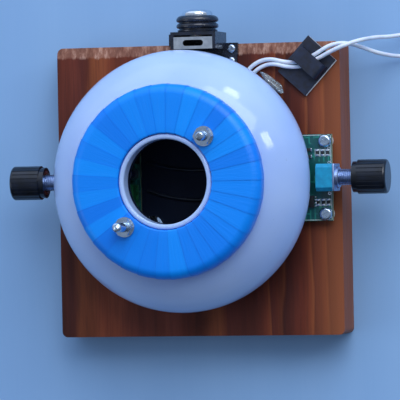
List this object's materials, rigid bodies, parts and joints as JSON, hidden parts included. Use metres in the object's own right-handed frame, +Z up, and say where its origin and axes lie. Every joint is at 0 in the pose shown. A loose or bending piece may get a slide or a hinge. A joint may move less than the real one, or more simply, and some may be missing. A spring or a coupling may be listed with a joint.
{
  "type": "toroid control unit",
  "caption": "Hand-built toroid unit: tape-wrapped ring clamped on a milky dome over a wooden board, with two rotary controls, a push switch and a twin lead.",
  "frame": {"origin": "centre of the wooden board's underside", "axes": "+X right, through the right knob; +Y to the back edge with the push switch; +Z up"},
  "size_m": [0.2124, 0.1477, 0.0799],
  "materials": {
    "stained_board": "stained softwood, waxed",
    "milky_shell": "milky white moulded plastic, glossy",
    "black_coat": "matt black coat",
    "spool": "moulded spool plastic",
    "core_steel": "wound strip core",
    "copper_wire": "enamelled copper wire, in layers",
    "blue_tape": "blue vinyl tape, overlapped",
    "zinc_steel": "zinc plated steel",
    "circuit_laminate": "green solder mask on laminate",
    "nylon": "nylon",
    "teal_housing": "moulded teal plastic",
    "control_metal": "pressed and turned metal",
    "terminal_plastic": "green terminal plastic",
    "can_sleeve": "shrink sleeve",
    "black_epoxy": "moulded epoxy",
    "knob_plastic": "black moulded plastic, fluted",
    "bright_chrome": "polished chrome",
    "black_plastic": "black moulded plastic",
    "foam": "adhesive foam",
    "white_pvc": "white wire insulation",
    "hookup_pvc": "coloured wire insulation",
    "clear_glue": "clear hot-melt glue",
    "contact_brass": "pressed brass",
    "spring_steel": "drawn spring wire"
  },
  "bodies": {
    "root": {"base_board": "stained_board", "blue_tape_wrap": "blue_tape", "clamp_studs": "zinc_steel", "clip_base": "black_plastic", "clip_foam_pad": "foam", "clip_strap": "black_plastic", "dome_liner": "black_coat", "dome_shell": "milky_shell", "foot_nuts": "zinc_steel", "foot_washers": "zinc_steel", "glue_wedge": "clear_glue", "hookup_wires": "hookup_pvc", "lead_a": "white_pvc", "lead_a_coil": "white_pvc", "lead_b": "white_pvc", "lead_b_coil": "white_pvc", "left_board_screws": "zinc_steel", "left_board_spacers": "nylon", "left_capacitor": "can_sleeve", "left_circuit_board": "circuit_laminate", "left_control_bush": "control_metal", "left_control_housing": "teal_housing", "left_control_pins": "zinc_steel", "left_surface_parts": "black_epoxy", "left_terminal_block": "terminal_plastic", "left_transistor": "black_epoxy", "right_board_screws": "zinc_steel", "right_board_spacers": "nylon", "right_capacitor": "can_sleeve", "right_circuit_board": "circuit_laminate", "right_control_bush": "control_metal", "right_control_housing": "teal_housing", "right_control_pins": "zinc_steel", "right_surface_parts": "black_epoxy", "right_terminal_block": "terminal_plastic", "right_transistor": "black_epoxy", "ring_former": "spool", "switch_bezel": "black_plastic", "switch_contacts": "contact_brass", "switch_frame": "black_plastic", "switch_screws": "zinc_steel", "switch_spring": "spring_steel", "switch_top_plate": "bright_chrome", "top_nuts": "zinc_steel", "top_washers": "zinc_steel", "toroid_core": "core_steel", "toroid_winding": "copper_wire", "under_nuts": "zinc_steel", "under_washers": "zinc_steel"},
    "right_knob_body": {"right_knob": "knob_plastic", "right_knob_insert": "bright_chrome", "right_control_shaft": "control_metal"},
    "left_knob_body": {"left_knob": "knob_plastic", "left_knob_insert": "bright_chrome", "left_control_shaft": "control_metal"},
    "push_button": {"switch_cap": "bright_chrome", "switch_plunger": "nylon"}
  },
  "joints": [
    {"name": "right_knob_turn", "type": "hinge", "parent": "root", "child": "right_knob_body", "pos_m": [0.0712, 0.0046, 0.03], "axis": [1, 0, 0], "range_deg": [-150, 150]},
    {"name": "left_knob_turn", "type": "hinge", "parent": "root", "child": "left_knob_body", "pos_m": [-0.0662, 0.0046, 0.03], "axis": [-1, 0, 0], "range_deg": [-150, 150]},
    {"name": "switch_push", "type": "slide", "parent": "root", "child": "push_button", "axis": [0, -1, 0], "range_m": [0, 0.0025], "stiffness_N_per_m": 500, "springref_m": -0.001, "deforming": ["switch_spring"]}
  ]
}
